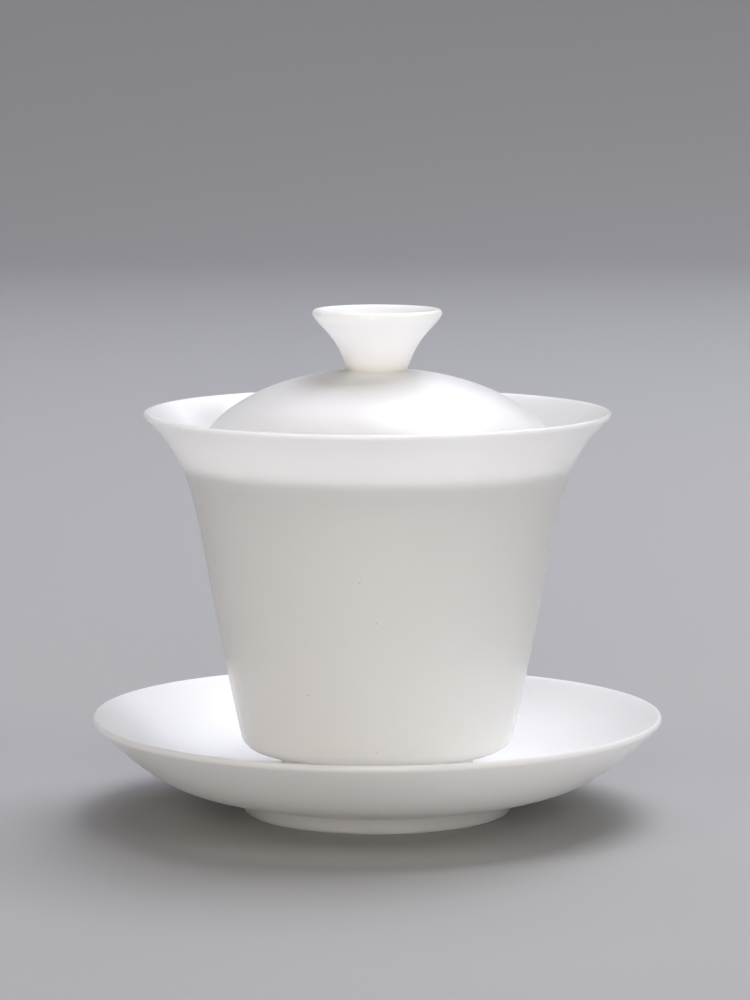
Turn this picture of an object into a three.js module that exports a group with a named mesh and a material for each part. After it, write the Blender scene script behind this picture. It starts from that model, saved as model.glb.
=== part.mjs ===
// A gaiwan: a lidded tea bowl standing on its saucer. Three pieces of glazed white porcelain.
// Millimetres, +Z up. The origin is the centre of the saucer's foot, on the table.
//
// Every piece is a solid of revolution about Z. Its outline is a list of (radius, height) points that
// runs with the porcelain on its left: out along the underside, up the outside, over the lip, and
// back down the inside.
import * as THREE from 'three';

const SEGMENTS = 64; // flats round each piece
const CLEARANCE = 0.3; // between pieces that rest on each other
const LIP_SLANT = [0.68, -0.73]; // across a lip, from its middle to where the outer side begins
const FOOT_EDGE = 0.4; // radius of a foot ring's edges
const FOOT_FLARE = 0.3; // how far a foot ring's sides lean

// The names that end in PULLS are the two (radius, height) points that draw a cubic outline its way.

// Saucer
const SAUCER_RADIUS = 56.9;
const SAUCER_HEIGHT = 19.45;
const SAUCER_LIP = 0.95; // radius of the lip's outer side
const SAUCER_LIP_EDGE = 0.3; // radius of the lip's top, which is sharper
const SAUCER_LIP_TURNS = [-47, 35, 133]; // degrees, up the outer side and then over the top
const SAUCER_FOOT = 26.7; // outer radius of the foot ring, where it stands
const SAUCER_FOOT_HEIGHT = 3.26;
const SAUCER_FOOT_WIDTH = 2.6;
const SAUCER_RECESS = 3.0; // height of the ceiling inside the foot ring
const DISH_FLOOR = 7.4;
const WELL_FLOOR = 6.3; // the shallow well that the bowl's foot stands in
const WELL_RADIUS = 21.2;
const WELL_RIM = 22.8; // radius where the well's rounded edge meets the dish's floor
const UNDERSIDE_PULLS = [[39.1, 6.3], [42, 3.9]];
const DISH_START = 28; // radius where the dish begins to rise
const DISH_PULLS = [[47, 11.6], [41, DISH_FLOOR]];

// Bowl
const BOWL_RADIUS = 46.5;
const BOWL_HEIGHT = 80.4; // of its lip above the table
const BOWL_LIP = 0.56;
const BOWL_FOOT = 18.9; // outer radius of the foot ring, where it stands
const BOWL_FOOT_WIDTH = 1.9;
const BOWL_BASE = WELL_FLOOR + CLEARANCE; // where the foot ring stands
const BOWL_RECESS = 12.3; // height of the ceiling inside the foot ring
const BOWL_FLOOR = 15.3; // inside, at the middle
const BOWL_WALL = 2.4; // thickness just above the heel
const HEEL_RADIUS = 3; // of the rounding between wall and underside
const HEEL_MIDDLE = [24.33, 15.9];
const HEEL_TURN = [-84.5, -13.5]; // degrees, from the underside to the wall
const WALL_START = [27.25, 15.2];
const WALL_PULLS = [[28.9, 22.2], [30.55, 31]];
const FLARE_START = [32.07, 38.8];
const FLARE_PULLS = [[36.26, 60.1], [36.53, 71.3]];
const CORNER_PULLS = [[24.9, 16.4], [22, BOWL_FLOOR]]; // inside, between wall and floor
const FLAT_FLOOR = 12; // radius of the flat middle of the floor

// Lid
const LID_TOP = 88.76; // of the dome, if it went on under the knob
const LID_EDGE = 0.75; // radius of the rounded edge
const LID_SEAT = 70.75; // height of the middle of that edge
const LID_EDGE_RADIUS = 36.7; // radius out to the middle of that edge
const LID_WALL = 1.9; // thickness of the dome under the knob
const KNOB_RADIUS = 12.9;
const KNOB_TOP = 100.7;
const KNOB_LIP = 0.8;
const NECK_RADIUS = 6; // where the knob meets the dome
const NECK_HEIGHT = 88.6;
const KNOB_HOLLOW_FLOOR = 91.4;
const DOME_PULLS = [[32.2, 83.5], [15.8, LID_TOP]];
const KNOB_PULLS = [[8.3, 96], [11.6, 97.1]];
const HOLLOW_PULLS = [[8.8, 97.2], [4.8, KNOB_HOLLOW_FLOOR]];

const point = (radius, height) => new THREE.Vector2(radius, height);

/** Points along a cubic curve from start to end, drawn towards its two pulls. */
function curve(start, pulls, end, steps) {
  const [first, second] = pulls.map((pull) => point(...pull));
  return new THREE.CubicBezierCurve(start, first, second, end).getPoints(steps);
}

/** Points round an arc about (radius, height), turning to the left from one angle to another, in degrees. */
function arc(radius, height, size, from, to, steps) {
  const round = new THREE.EllipseCurve(
    radius, height, size, size, THREE.MathUtils.degToRad(from), THREE.MathUtils.degToRad(to),
  );
  return round.getPoints(steps);
}

/** Where the outer and the inner side meet a rounded lip. */
function lipEnds(radius, height, lipRadius) {
  const middle = point(radius - lipRadius, height - lipRadius);
  const across = point(...LIP_SLANT).multiplyScalar(lipRadius);
  return [middle.clone().add(across), middle.clone().sub(across)];
}

/** The half turn over a lip, from the last point of one side of the wall to the first of the other. */
function lip(from, to, steps) {
  const middle = from.clone().add(to).multiplyScalar(0.5);
  const angle = THREE.MathUtils.radToDeg(from.clone().sub(middle).angle());
  return arc(middle.x, middle.y, from.distanceTo(to) / 2, angle, angle + 180, steps).slice(1, -1);
}

/** The other side of a wall: each point moved to the left by a thickness that changes evenly along it. */
function otherSide(points, firstThickness, lastThickness) {
  return points.map((here, i) => {
    const before = points[Math.max(i - 1, 0)];
    const after = points[Math.min(i + 1, points.length - 1)];
    const along = after.clone().sub(before).normalize();
    const share = i / (points.length - 1);
    const thickness = THREE.MathUtils.lerp(firstThickness, lastThickness, share);
    return point(here.x - along.y * thickness, here.y + along.x * thickness);
  });
}

/** Turns an outline into a named porcelain solid. */
function turned(name, outline, color, roughness) {
  const geometry = new THREE.LatheGeometry(outline, SEGMENTS);
  geometry.rotateX(Math.PI / 2);
  const mesh = new THREE.Mesh(geometry, new THREE.MeshStandardMaterial({ color, roughness, metalness: 0 }));
  mesh.name = name;
  return mesh;
}

/** A ring foot standing at height base: down its inner side, across, and up its outer side. */
function footRing(outerRadius, width, base, top) {
  const inner = outerRadius - width;
  return [
    point(inner - FOOT_FLARE - FOOT_EDGE, top),
    point(inner - FOOT_FLARE, top - FOOT_EDGE),
    ...arc(inner + FOOT_EDGE, base + FOOT_EDGE, FOOT_EDGE, 180, 270, 2),
    ...arc(outerRadius - FOOT_EDGE, base + FOOT_EDGE, FOOT_EDGE, 270, 360, 2),
  ];
}

/** The saucer's lip: a rounded outer side that tightens into the edge along the top. */
function saucerLip() {
  const [start, change, end] = SAUCER_LIP_TURNS;
  const turn = THREE.MathUtils.degToRad(change);
  const across = (SAUCER_LIP - SAUCER_LIP_EDGE) * Math.cos(turn);
  const up = (SAUCER_LIP - SAUCER_LIP_EDGE) * Math.sin(turn);
  const edge = point(SAUCER_RADIUS - SAUCER_LIP + across, SAUCER_HEIGHT - SAUCER_LIP_EDGE);
  return [
    ...arc(edge.x - across, edge.y - up, SAUCER_LIP, start, change, 3),
    ...arc(edge.x, edge.y, SAUCER_LIP_EDGE, change, end, 3).slice(1),
  ];
}

/** A shallow dish on a low foot ring, with a well in the middle for the bowl's foot. */
function saucer() {
  const rim = saucerLip();
  const footTop = point(SAUCER_FOOT + FOOT_FLARE, SAUCER_FOOT_HEIGHT);
  const underside = curve(footTop, UNDERSIDE_PULLS, rim[0], 10);
  const dish = curve(rim.at(-1), DISH_PULLS, point(DISH_START, DISH_FLOOR), 8);
  return [
    point(0, SAUCER_RECESS),
    ...footRing(SAUCER_FOOT, SAUCER_FOOT_WIDTH, 0, SAUCER_RECESS),
    ...underside,
    ...rim.slice(1, -1),
    ...dish,
    point(WELL_RIM, DISH_FLOOR),
    point(WELL_RIM - 0.5, DISH_FLOOR - 0.2),
    point(WELL_RADIUS, WELL_FLOOR),
    point(0, WELL_FLOOR),
  ];
}

/** A nearly straight wall that leans out, then flares like a trumpet to a thin lip. */
function bowlWall() {
  const [lipOuter] = lipEnds(BOWL_RADIUS, BOWL_HEIGHT, BOWL_LIP);
  const flareStart = point(...FLARE_START);
  return [
    ...curve(point(...WALL_START), WALL_PULLS, flareStart, 4),
    ...curve(flareStart, FLARE_PULLS, lipOuter, 11).slice(1),
  ];
}

/** A tall cup on a narrow foot ring, with a rounded heel. */
function bowl() {
  const wall = bowlWall();
  const heel = arc(...HEEL_MIDDLE, HEEL_RADIUS, ...HEEL_TURN, 4);
  const inside = otherSide(wall, BOWL_WALL, 2 * BOWL_LIP).slice(1).reverse();
  const corner = curve(inside.pop(), CORNER_PULLS, point(FLAT_FLOOR, BOWL_FLOOR), 5);
  return [
    point(0, BOWL_RECESS),
    ...footRing(BOWL_FOOT, BOWL_FOOT_WIDTH, BOWL_BASE, BOWL_RECESS),
    point(BOWL_FOOT + FOOT_FLARE, BOWL_RECESS - FOOT_EDGE),
    point(BOWL_FOOT + 1, BOWL_RECESS + 0.2),
    ...heel.slice(0, -1),
    ...wall,
    ...lip(wall.at(-1), inside[0], 4),
    ...inside,
    ...corner,
    point(0, BOWL_FLOOR),
  ];
}

/** A dome whose rounded edge sits on the bowl's flare, with a hollow trumpet knob on top. */
function lid() {
  const edgeOuter = point(LID_EDGE_RADIUS + LID_EDGE * 0.92, LID_SEAT + LID_EDGE * 0.39);
  const dome = curve(edgeOuter, DOME_PULLS, point(0, LID_TOP), 11);
  const underDome = otherSide(dome, 2 * LID_EDGE, LID_WALL).reverse();
  underDome[0].x = 0;
  const shownDome = dome.filter((p) => p.x > NECK_RADIUS + 0.8);
  const neck = point(NECK_RADIUS, NECK_HEIGHT + 0.3);
  const [knobEnd, hollowEnd] = lipEnds(KNOB_RADIUS, KNOB_TOP, KNOB_LIP);
  const knobSide = curve(neck, KNOB_PULLS, knobEnd, 6);
  const hollow = curve(hollowEnd, HOLLOW_PULLS, point(0, KNOB_HOLLOW_FLOOR), 6);
  return [
    ...underDome,
    ...lip(underDome.at(-1), edgeOuter, 4),
    ...shownDome,
    ...knobSide,
    ...lip(knobEnd, hollowEnd, 5),
    ...hollow,
  ];
}

const gaiwan = new THREE.Group();
gaiwan.name = 'gaiwan';
gaiwan.add(turned('saucer', saucer(), 0xeeeff2, 0.3));
gaiwan.add(turned('bowl', bowl(), 0xf0efec, 0.3));
gaiwan.add(turned('lid', lid(), 0xf1f1f2, 0.3));

export default gaiwan;
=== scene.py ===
"""The looks of a gaiwan: a lidded tea bowl on its saucer, in satin white translucent porcelain.

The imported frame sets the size. Outlines are written in the design's own units, in which the bowl's
lip has a radius of BOWL_RADIUS, and UNIT turns those into the frame's metres. An outline is a list
of (radius, height) points that runs with the porcelain on its left.
"""
import math

import bpy
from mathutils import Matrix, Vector, noise


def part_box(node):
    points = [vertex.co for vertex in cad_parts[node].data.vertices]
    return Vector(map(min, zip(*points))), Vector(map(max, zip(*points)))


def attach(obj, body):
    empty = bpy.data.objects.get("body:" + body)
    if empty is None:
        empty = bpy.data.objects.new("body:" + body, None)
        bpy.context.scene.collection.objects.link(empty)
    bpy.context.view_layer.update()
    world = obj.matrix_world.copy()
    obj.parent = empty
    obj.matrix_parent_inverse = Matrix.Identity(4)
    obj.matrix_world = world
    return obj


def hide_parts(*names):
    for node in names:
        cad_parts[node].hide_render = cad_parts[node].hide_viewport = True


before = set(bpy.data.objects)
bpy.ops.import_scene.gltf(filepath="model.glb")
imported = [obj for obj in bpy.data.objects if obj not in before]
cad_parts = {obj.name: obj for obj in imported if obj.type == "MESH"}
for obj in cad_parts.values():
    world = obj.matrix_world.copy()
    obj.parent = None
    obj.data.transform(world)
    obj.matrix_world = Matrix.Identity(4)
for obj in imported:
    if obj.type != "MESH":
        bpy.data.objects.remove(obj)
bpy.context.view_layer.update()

# Outlines, in the design's units. A name that ends in PULLS holds the two points that draw a cubic
# outline its way, and one that ends in CORNERS holds (radius, height, ease) corners for eased().
LIP_SLANT = (0.68, -0.73)  # across a lip, from its middle to where the outer side begins
SEGMENTS = 256  # round each piece

SAUCER_RADIUS = 56.9
SAUCER_HEIGHT = 19.45
SAUCER_LIP_SIDE = 0.95  # radius of the lip's outer side
SAUCER_LIP_EDGE = 0.3  # radius of the lip's top, which is sharper
SAUCER_LIP_TURNS = (-47, 35, 133)  # degrees, up the outer side and then over the top
SAUCER_RECESS = 3.0  # height of the ceiling inside the foot ring
SAUCER_FOOT_CORNERS = (
    (22.4, SAUCER_RECESS, 0), (23.75, SAUCER_RECESS, 0.9), (24.1, 0, 0.5), (26.7, 0, 0.5),
)
UNDERSIDE_START = (27.0, 3.26)
UNDERSIDE_PULLS = ((39.1, 6.3), (42.0, 3.9))
UNDERSIDE_EASE = 0.45  # between foot ring and underside
DISH_FLOOR = 7.4
DISH_PULLS = ((47.0, 11.6), (41.0, DISH_FLOOR))
DISH_START = 28.0  # radius where the dish begins to rise
WELL_FLOOR = 6.3
WELL_CORNERS = (
    (26.0, DISH_FLOOR, 0), (22.9, DISH_FLOOR, 1.4), (21.4, WELL_FLOOR, 0.9), (19.0, WELL_FLOOR, 0),
)

BOWL_RADIUS = 46.5
BOWL_HEIGHT = 80.4
BOWL_LIP = 0.56
BOWL_WALL = 2.4  # thickness just above the heel
BOWL_BASE = 6.6  # where the foot ring stands
BOWL_RECESS = 12.3  # height of the ceiling inside the foot ring
BOWL_FOOT_CORNERS = (
    (14.8, BOWL_RECESS, 0), (16.55, BOWL_RECESS, 1.2), (17.0, BOWL_BASE, 0.5),
    (18.9, BOWL_BASE, 0.5), (19.35, 12.4, 0.9), (21.5, 12.61, 0),
)
HEEL_START = (24.62, 12.914)
HEEL_MIDDLE = (24.33, 15.9)
HEEL_RADIUS = 3.0
HEEL_TURN = (-84.5, -13.5)  # degrees, from the underside to the wall
WALL_START = (27.25, 15.2)
WALL_PULLS = ((28.9, 22.2), (30.55, 31.0))
FLARE_START = (32.07, 38.8)
FLARE_PULLS = ((36.26, 60.1), (36.53, 71.3))
INSIDE_STARTS = 6  # the point of the wall that the corner inside the bowl starts from
BOWL_FLOOR = 15.3
CORNER_PULLS = ((24.9, 16.4), (22.0, BOWL_FLOOR))
FLAT_FLOOR = 12.0  # radius of the flat middle of the floor

LID_TOP = 88.76  # of the dome, if it went on under the knob
LID_EDGE = 0.75  # radius of the rounded edge
LID_EDGE_MIDDLE = (36.7, 70.75)
EDGE_SLANT = (0.92, 0.39)  # from that middle to where the dome begins
LID_WALL = (1.5, 1.9)  # thickness of the dome, at its edge and under the knob
DOME_PULLS = ((32.2, 83.5), (15.8, LID_TOP))
DOME_SHOWN = 7.4  # radius where the dome turns up into the knob's neck
NECK = (6.0, 88.75)
NECK_CORNER = (5.85, 88.45, 0.8)
KNOB_RADIUS = 12.9
KNOB_TOP = 100.7
KNOB_LIP = 0.8
KNOB_PULLS = ((8.3, 96.0), (11.6, 97.1))
HOLLOW_FLOOR = 91.4
HOLLOW_PULLS = ((8.8, 97.2), (4.8, HOLLOW_FLOOR))

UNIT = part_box("bowl")[1].x / BOWL_RADIUS  # metres

# How far firing has bent each rim up and down, and how uneven it left the walls, in the design's units.
SAUCER_SWAY = 0.16
BOWL_SWAY = 0.06
SWAY_PHASE = 0.7  # radians, of the two waves that run round a rim
WALL_DRIFT = 0.035
DRIFT_PITCH = 0.055  # noise cells in one unit
DRIFT_LEAST_RADIUS = 5.0  # inside it the drift fades away
# Painted shade, warm and darker, near creases, which are (radius, height, reach).
SAUCER_CREASES = ((27.0, 3.26, 0.9), (23.75, 3.0, 1.0), (22.0, 6.5, 1.2))
BOWL_CREASES = ((19.35, 12.4, 1.6), (16.5, 12.3, 1.5))
LID_CREASES = ((6.0, 88.5, 1.3),)
# A piece is bare from the height it stands at up to the first of these, and glazed from the second on.
BARE_RING = (0.02, 0.3)
GLAZED_ALL_OVER = -1.0  # a standing height that leaves no part of the lid bare

# Porcelain and glaze. Colours are linear, and the pattern sizes are in waves or cells to the metre.
BODY_COLOURS = ((0.915, 0.915, 0.912), (0.940, 0.942, 0.945))
CLOUDS = 38.0
SCATTER = 0.0036  # metres that light wanders inside
SCATTER_COLOURS = (1.0, 0.98, 0.95)
# Painted shade near creases: its warm, darker colour and how much of it is mixed in.
CREASE_SHADE_COLOUR = (0.83, 0.80, 0.70)
CREASE_SHADE_SHARE = 0.35
SPECK_COLOUR = (0.62, 0.57, 0.50)
SPECK_CELLS = 300.0
SPECK_EDGE = (0.02, 0.07)  # in cells, from the speck's middle
SPECK_LEAST = 0.9  # only cells whose random number is above this have a speck
GRAIN = 900.0
GRAIN_STRENGTH = 0.05
GRAIN_DEPTH = 0.0001  # metres
GLAZE_IOR = 1.5
# Roughness, of the glaze at its smoothest and roughest and of the bare ring.
SATIN = (0.28, 0.36)
GLOSSIER = (0.19, 0.26)
BARE_ROUGHNESS = 0.8

# The studio, in metres and watts. A light is (name, azimuth, elevation, power, colour).
MIDDLE = (0, 0, 0.05)
FLOOR_INNER = 0.4  # radius of a ring inside which the smooth shading is quite flat
FLOOR_REACH = 1.7
SWEEP_BEND = 0.9
SWEEP_HEIGHT = 1.5
SWEEP_SIDES = 96
FLOOR_COLOUR = (0.38, 0.38, 0.385)
FLOOR_ROUGHNESS = 0.7
LIGHT_REACH = 2.0
SOFT_BOX = 1.1
LIGHTS = (
    ("key", 141, 64, 28.4, (0.94, 0.945, 1.0)),
    ("back", 192, 58, 8.6, (0.86, 0.86, 1.0)),
    ("back_low", 160, 40, 6.8, (0.84, 0.88, 1.0)),
    ("front", 0, 11, 16.2, (1.0, 0.95, 0.885)),
    ("front_high", 0, 58, 4.0, (0.78, 0.84, 1.0)),
    ("right", 54, 28, 8.2, (1.0, 0.93, 0.76)),
    ("left", 300, 28, 7.0, (1.0, 0.86, 0.67)),
)

# The camera: its place in radii of the bowl's lip, and how far it looks down, in degrees.
CAMERA_PLACE = (-0.0098, -17.517, 3.4845)
CAMERA_TILT = 6.9645
LENS = 148.1
SENSOR = 36.0


# ---------------------------------------------------------------- outlines

def cubic(a, b, c, d, steps):
    """Points along the curve that leaves a towards b and arrives at d from c."""
    points = []
    for i in range(steps + 1):
        t = i / steps
        weights = ((1 - t) ** 3, 3 * t * (1 - t) ** 2, 3 * t * t * (1 - t), t ** 3)
        points.append(tuple(sum(w * p[k] for w, p in zip(weights, (a, b, c, d))) for k in (0, 1)))
    return points


def arc(centre, size, start, end, steps):
    """Points round an arc between two angles in degrees."""
    angles = [math.radians(start + (end - start) * i / steps) for i in range(steps + 1)]
    return [(centre[0] + size * math.cos(a), centre[1] + size * math.sin(a)) for a in angles]


def lip_ends(radius, height, lip):
    """Where the outer and the inner side meet a rounded lip."""
    middle = (radius - lip, height - lip)
    across = (LIP_SLANT[0] * lip, LIP_SLANT[1] * lip)
    return (middle[0] + across[0], middle[1] + across[1]), (middle[0] - across[0], middle[1] - across[1])


def over_lip(start, end, steps=14):
    """The half turn to the left over a lip, without its two end points."""
    centre = ((start[0] + end[0]) / 2, (start[1] + end[1]) / 2)
    angle = math.degrees(math.atan2(start[1] - centre[1], start[0] - centre[0]))
    return arc(centre, math.dist(start, end) / 2, angle, angle + 180, steps)[1:-1]


def other_side(points, first, last):
    """Each point moved to its left by a thickness that changes evenly from first to last."""
    moved = []
    for i, (r, z) in enumerate(points):
        before, after = points[max(i - 1, 0)], points[min(i + 1, len(points) - 1)]
        along = Vector((after[0] - before[0], after[1] - before[1])).normalized()
        thickness = first + (last - first) * i / (len(points) - 1)
        moved.append((r - along.y * thickness, z + along.x * thickness))
    return moved


def eased(corners, steps=7):
    """A line through (radius, height, ease) corners, each cut short by ease and curved between the cuts."""
    points = []
    for i, (r, z, ease) in enumerate(corners):
        here = Vector((r, z))
        if not ease:
            points.append((r, z))
            continue
        start = here + (Vector(corners[i - 1][:2]) - here).normalized() * ease
        end = here + (Vector(corners[i + 1][:2]) - here).normalized() * ease
        for k in range(steps + 1):
            t = k / steps
            points.append(tuple(start * (1 - t) ** 2 + here * 2 * t * (1 - t) + end * t * t))
    return points


def straight(start, end, steps):
    """Points between two, without the two themselves."""
    return [tuple(start[k] + (end[k] - start[k]) * i / steps for k in (0, 1)) for i in range(1, steps)]


def flat(height, inner, outer, steps):
    """A level stretch from radius inner to outer, without its two ends."""
    return straight((inner, height), (outer, height), steps)


def saucer_lip():
    """A rounded outer side that tightens into the edge along the top."""
    start, change, end = SAUCER_LIP_TURNS
    across = (SAUCER_LIP_SIDE - SAUCER_LIP_EDGE) * math.cos(math.radians(change))
    up = (SAUCER_LIP_SIDE - SAUCER_LIP_EDGE) * math.sin(math.radians(change))
    r, z = SAUCER_RADIUS - SAUCER_LIP_SIDE + across, SAUCER_HEIGHT - SAUCER_LIP_EDGE
    side = arc((r - across, z - up), SAUCER_LIP_SIDE, start, change, 10)
    return side + arc((r, z), SAUCER_LIP_EDGE, change, end, 8)[1:]


def saucer_outline():
    """A shallow dish on a low foot ring, with a well in the middle for the bowl's foot."""
    rim = saucer_lip()
    underside = cubic(UNDERSIDE_START, *UNDERSIDE_PULLS, rim[0], 44)
    dish = cubic(rim[-1], *DISH_PULLS, (DISH_START, DISH_FLOOR), 44)
    return [
        (0, SAUCER_RECESS),
        *flat(SAUCER_RECESS, 0, SAUCER_FOOT_CORNERS[0][0], 8),
        *eased([*SAUCER_FOOT_CORNERS, (*UNDERSIDE_START, UNDERSIDE_EASE), (*underside[2], 0)]),
        *underside[3:],
        *rim[1:-1],
        *dish,
        *eased(WELL_CORNERS),
        *flat(WELL_FLOOR, WELL_CORNERS[-1][0], 0, 8),
        (0, WELL_FLOOR),
    ]


def bowl_outline():
    """A tall cup on a narrow foot ring, whose wall leans out and then flares to a thin lip."""
    outer_end, _ = lip_ends(BOWL_RADIUS, BOWL_HEIGHT, BOWL_LIP)
    wall = cubic(WALL_START, *WALL_PULLS, FLARE_START, 26)
    wall += cubic(FLARE_START, *FLARE_PULLS, outer_end, 60)[1:]
    inside = other_side(wall, BOWL_WALL, 2 * BOWL_LIP)[INSIDE_STARTS:]
    inside.reverse()
    corner = cubic(inside[-1], *CORNER_PULLS, (FLAT_FLOOR, BOWL_FLOOR), 24)
    return [
        (0, BOWL_RECESS),
        *flat(BOWL_RECESS, 0, BOWL_FOOT_CORNERS[0][0], 6),
        *eased(BOWL_FOOT_CORNERS),
        *straight(BOWL_FOOT_CORNERS[-1][:2], HEEL_START, 5),
        *arc(HEEL_MIDDLE, HEEL_RADIUS, *HEEL_TURN, 14)[:-1],
        *wall,
        *over_lip(wall[-1], inside[0]),
        *inside,
        *corner[1:],
        *flat(BOWL_FLOOR, FLAT_FLOOR, 0, 6),
        (0, BOWL_FLOOR),
    ]


def lid_outline():
    """A dome whose rounded edge sits on the bowl's flare, with a hollow trumpet knob on top."""
    edge_outer = tuple(LID_EDGE_MIDDLE[k] + LID_EDGE * EDGE_SLANT[k] for k in (0, 1))
    dome = cubic(edge_outer, *DOME_PULLS, (0, LID_TOP), 72)
    under = other_side(dome, *LID_WALL)
    under[-1] = (0, under[-1][1])
    under.reverse()
    shown = [p for p in dome if p[0] > DOME_SHOWN]
    knob_end, hollow_end = lip_ends(KNOB_RADIUS, KNOB_TOP, KNOB_LIP)
    knob = cubic(NECK, *KNOB_PULLS, knob_end, 26)
    hollow = cubic(hollow_end, *HOLLOW_PULLS, (0, HOLLOW_FLOOR), 32)
    return [
        *under,
        *over_lip(under[-1], edge_outer),
        *shown,
        *eased([(*shown[-1], 0), NECK_CORNER, (*knob[2], 0)])[1:],
        *knob[3:],
        *over_lip(knob_end, hollow_end),
        *hollow,
    ]


# ---------------------------------------------------------------- pieces

def smooth_step(low, high, value):
    t = max(0.0, min(1.0, (value - low) / (high - low)))
    return t * t * (3 - 2 * t)


def crease_shading(r, z, creases):
    """How much painted shade a point near a crease gets, from 0 to 1."""
    return max(math.exp(-((r - cr) ** 2 + (z - cz) ** 2) / reach ** 2) for cr, cz, reach in creases)


def turned(name, outline, sway, creases, standing):
    """Spins an outline into a closed mesh.

    sway is how far the firing has bent the rim up and down, and standing is the height of what the
    piece stands on, where a ring of it is bare porcelain.
    """
    low = min(z for r, z in outline)
    high = max(z for r, z in outline)
    wide = max(r for r, z in outline)
    places, crease_shade, bare = [], [], []
    rings = []
    for r, z in outline:
        count = 1 if r < 1e-6 else SEGMENTS
        rings.append((len(places), count))
        # painted shade near creases, kept on each point
        crease_shade += [crease_shading(r, z, creases)] * count
        bare += [1.0 - smooth_step(standing + BARE_RING[0], standing + BARE_RING[1], z)] * count
        for j in range(count):
            turn = 2 * math.pi * j / SEGMENTS
            bend = sway * (r / wide) ** 3 * math.cos(2 * turn + SWAY_PHASE)
            spot = Vector((r * math.cos(turn), r * math.sin(turn), z))
            drift = WALL_DRIFT * noise.noise(spot * DRIFT_PITCH) * smooth_step(low, high, z)
            grow = 1 + drift / max(r, DRIFT_LEAST_RADIUS)
            places.append((spot.x * grow * UNIT, spot.y * grow * UNIT, (z + bend) * UNIT))
    faces = []
    for (a, a_count), (b, b_count) in zip(rings[:-1], rings[1:]):
        for j in range(SEGMENTS):
            k = (j + 1) % SEGMENTS
            if a_count == 1:
                faces.append((a, b + k, b + j))
            elif b_count == 1:
                faces.append((a + j, a + k, b))
            else:
                faces.append((a + j, a + k, b + k, b + j))
    mesh = bpy.data.meshes.new(name)
    mesh.from_pydata(places, [], faces)
    # the painted crease shade and the bare ring, kept as attributes of the points
    for label, values in (("crease_shade", crease_shade), ("bare", bare)):
        mesh.attributes.new(label, "FLOAT", "POINT").data.foreach_set("value", values)
    mesh.shade_smooth()
    piece = bpy.data.objects.new(name, mesh)
    bpy.context.scene.collection.objects.link(piece)
    return piece


# ---------------------------------------------------------------- materials

class Nodes:
    """A material's node tree, with short ways to add and join nodes."""

    def __init__(self, name):
        self.material = bpy.data.materials.new(name)
        self.material.use_nodes = True
        self.tree = self.material.node_tree
        self.tree.nodes.clear()

    def add(self, kind, sockets=(), **settings):
        """A new node. Each of its sockets is joined to another node's output or given a value."""
        node = self.tree.nodes.new(kind)
        for key, value in settings.items():
            setattr(node, key, value)
        for label, source in dict(sockets).items():
            if isinstance(source, bpy.types.NodeSocket):
                self.tree.links.new(source, node.inputs[label])
            else:
                node.inputs[label].default_value = source
        return node

    def math(self, operation, first, second):
        return self.add("ShaderNodeMath", {0: first, 1: second}, operation=operation).outputs[0]

    def mix(self, kind, share, first, second):
        sockets = {"Factor": share, "A": first, "B": second}
        return self.add("ShaderNodeMix", sockets, data_type=kind).outputs["Result"]

    def spread(self, value, span, new_span):
        """A value carried from one span of numbers to another, and kept inside it."""
        sockets = {"Value": value, "From Min": span[0], "From Max": span[1]}
        sockets.update({"To Min": new_span[0], "To Max": new_span[1]})
        return self.add("ShaderNodeMapRange", sockets).outputs["Result"]

    def finish(self, shader):
        self.add("ShaderNodeOutputMaterial", {"Surface": shader.outputs[0]})
        return self.material


def specks(n, place):
    """Small dots, one in each of a few of the cells that space is divided into."""
    cells = n.add("ShaderNodeTexVoronoi", {"Vector": place, "Scale": SPECK_CELLS})
    dots = n.spread(cells.outputs["Distance"], SPECK_EDGE, (1.0, 0.0))
    number = n.add("ShaderNodeSeparateColor", {"Color": cells.outputs["Color"]}).outputs[0]
    return n.math("MULTIPLY", dots, n.math("GREATER_THAN", number, SPECK_LEAST))


def porcelain(name, glaze_roughness):
    """Fine white porcelain under a satin glaze: translucent, with faint clouds, painted shade near creases
    and specks.
    """
    n = Nodes(name)
    place = n.add("ShaderNodeTexCoord").outputs["Object"]
    crease_shade = n.add("ShaderNodeAttribute", attribute_name="crease_shade").outputs["Fac"]
    bare = n.add("ShaderNodeAttribute", attribute_name="bare").outputs["Fac"]
    clouds = n.add("ShaderNodeTexNoise", {"Vector": place, "Scale": CLOUDS, "Detail": 3.0}).outputs["Fac"]
    body = n.mix("RGBA", clouds, (*BODY_COLOURS[0], 1), (*BODY_COLOURS[1], 1))
    # painted shade: a warm, darker tint mixed in near creases
    crease_shaded = n.mix("RGBA", n.math("MULTIPLY", crease_shade, CREASE_SHADE_SHARE), body, (*CREASE_SHADE_COLOUR, 1))
    colour = n.mix("RGBA", specks(n, place), crease_shaded, (*SPECK_COLOUR, 1))
    glazed = n.spread(clouds, (0.0, 1.0), glaze_roughness)
    rough = n.mix("FLOAT", bare, glazed, BARE_ROUGHNESS)
    grain = n.add("ShaderNodeTexNoise", {"Vector": place, "Scale": GRAIN, "Detail": 2.0}).outputs["Fac"]
    bump = n.add("ShaderNodeBump", {"Height": grain, "Strength": GRAIN_STRENGTH, "Distance": GRAIN_DEPTH})
    return n.finish(n.add("ShaderNodeBsdfPrincipled", {
        "Base Color": colour,
        "Roughness": rough,
        "Normal": bump.outputs["Normal"],
        "IOR": GLAZE_IOR,
        "Subsurface Weight": 1.0,
        "Subsurface Scale": SCATTER,
        "Subsurface Radius": SCATTER_COLOURS,
    }))


def paper(name):
    """The plain matt sheet that the object stands on."""
    n = Nodes(name)
    sockets = {"Base Color": (*FLOOR_COLOUR, 1), "Roughness": FLOOR_ROUGHNESS}
    return n.finish(n.add("ShaderNodeBsdfPrincipled", sockets))


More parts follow.
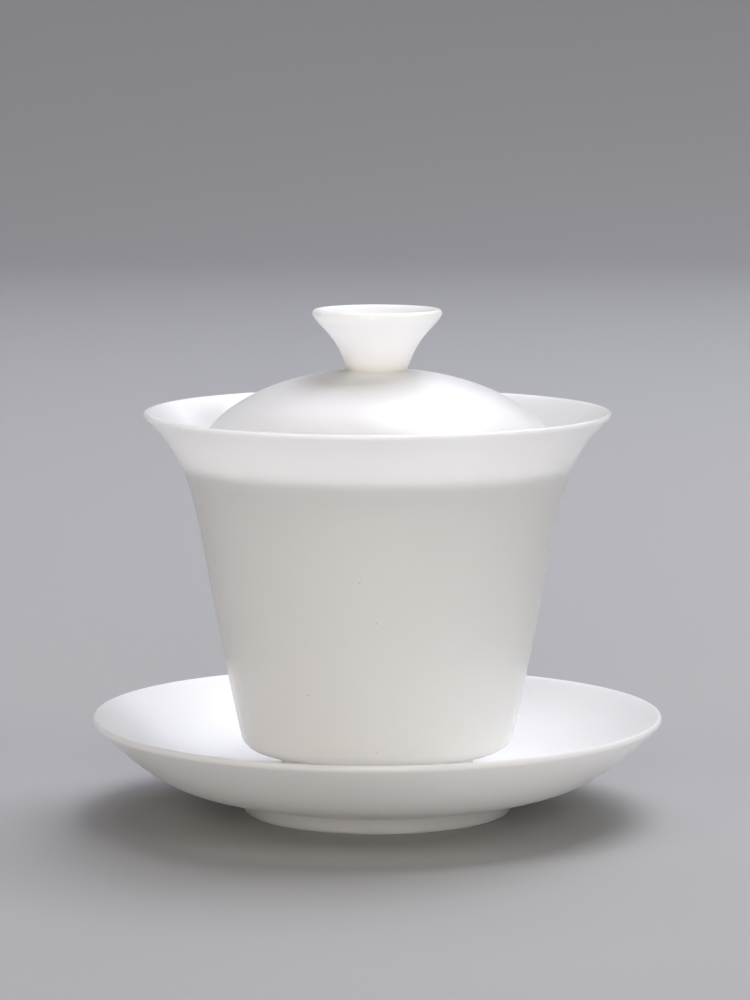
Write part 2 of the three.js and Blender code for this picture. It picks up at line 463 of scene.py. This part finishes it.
def make_pieces():
    satin = porcelain("porcelain_satin", SATIN)
    glossier = porcelain("porcelain_glossier", GLOSSIER)
    rows = (
        ("porcelain_saucer", "saucer", satin, saucer_outline(), SAUCER_SWAY, SAUCER_CREASES, 0.0),
        ("porcelain_bowl", "bowl", glossier, bowl_outline(), BOWL_SWAY, BOWL_CREASES, BOWL_BASE),
        ("porcelain_lid", "lid", satin, lid_outline(), 0.0, LID_CREASES, GLAZED_ALL_OVER),
    )
    for name, node, glaze, outline, sway, creases, standing in rows:
        piece = turned(name, outline, sway, creases, standing)
        piece.data.materials.append(glaze)
        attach(piece, node)
        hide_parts(node)


# ---------------------------------------------------------------- studio

def sweep():
    """A plain floor that curves up into a low wall all round."""
    profile = [(0, 0), (FLOOR_INNER, 0), (FLOOR_REACH, 0)]
    profile += arc((FLOOR_REACH, SWEEP_BEND), SWEEP_BEND, -90, 0, 24)[1:]
    profile += [(FLOOR_REACH + SWEEP_BEND, SWEEP_HEIGHT)]
    mesh = bpy.data.meshes.new("sweep")
    places, faces = [], []
    for r, z in profile:
        for j in range(SWEEP_SIDES):
            turn = 2 * math.pi * j / SWEEP_SIDES
            places.append((r * math.cos(turn), r * math.sin(turn), z))
    for i in range(len(profile) - 1):
        here, above = i * SWEEP_SIDES, (i + 1) * SWEEP_SIDES
        for j in range(SWEEP_SIDES):
            k = (j + 1) % SWEEP_SIDES
            faces.append((here + j, here + k, above + k, above + j))
    mesh.from_pydata(places, [], faces)
    mesh.shade_smooth()
    sheet = bpy.data.objects.new("sweep", mesh)
    bpy.context.scene.collection.objects.link(sheet)
    mesh.materials.append(paper("floor_paper"))


def soft_light(name, azimuth, elevation, power, colour):
    """A square soft box that faces the object. Azimuth 0 is the camera's side and 90 the right."""
    turn, rise = math.radians(azimuth), math.radians(elevation)
    toward = Vector((math.sin(turn) * math.cos(rise), -math.cos(turn) * math.cos(rise), math.sin(rise)))
    lamp = bpy.data.lights.new(name, "AREA")
    lamp.shape = "SQUARE"
    lamp.size = SOFT_BOX
    lamp.energy = power
    lamp.color = colour
    holder = bpy.data.objects.new(name, lamp)
    holder.location = Vector(MIDDLE) + toward * LIGHT_REACH
    holder.rotation_mode = "QUATERNION"
    holder.rotation_quaternion = (-toward).to_track_quat("-Z", "Y")
    bpy.context.scene.collection.objects.link(holder)


def studio():
    """The sweep and its soft boxes, which are the only light."""
    sweep()
    for row in LIGHTS:
        soft_light(*row)
    world = bpy.data.worlds.new("studio")
    bpy.context.scene.world = world
    world.use_nodes = True
    world.node_tree.nodes["Background"].inputs["Strength"].default_value = 0.0
    bpy.context.scene.view_settings.view_transform = "Standard"
    bpy.context.scene.cycles.use_denoising = True


def camera():
    """A long lens a little above the lip, looking slightly down."""
    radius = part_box("bowl")[1].x
    data = bpy.data.cameras.new("camera")
    data.lens = LENS
    data.sensor_width = SENSOR
    view = bpy.data.objects.new("camera", data)
    view.location = [share * radius for share in CAMERA_PLACE]
    view.rotation_euler = (math.radians(90 - CAMERA_TILT), 0, 0)
    bpy.context.scene.collection.objects.link(view)
    bpy.context.scene.camera = view


camera()
make_pieces()
studio()
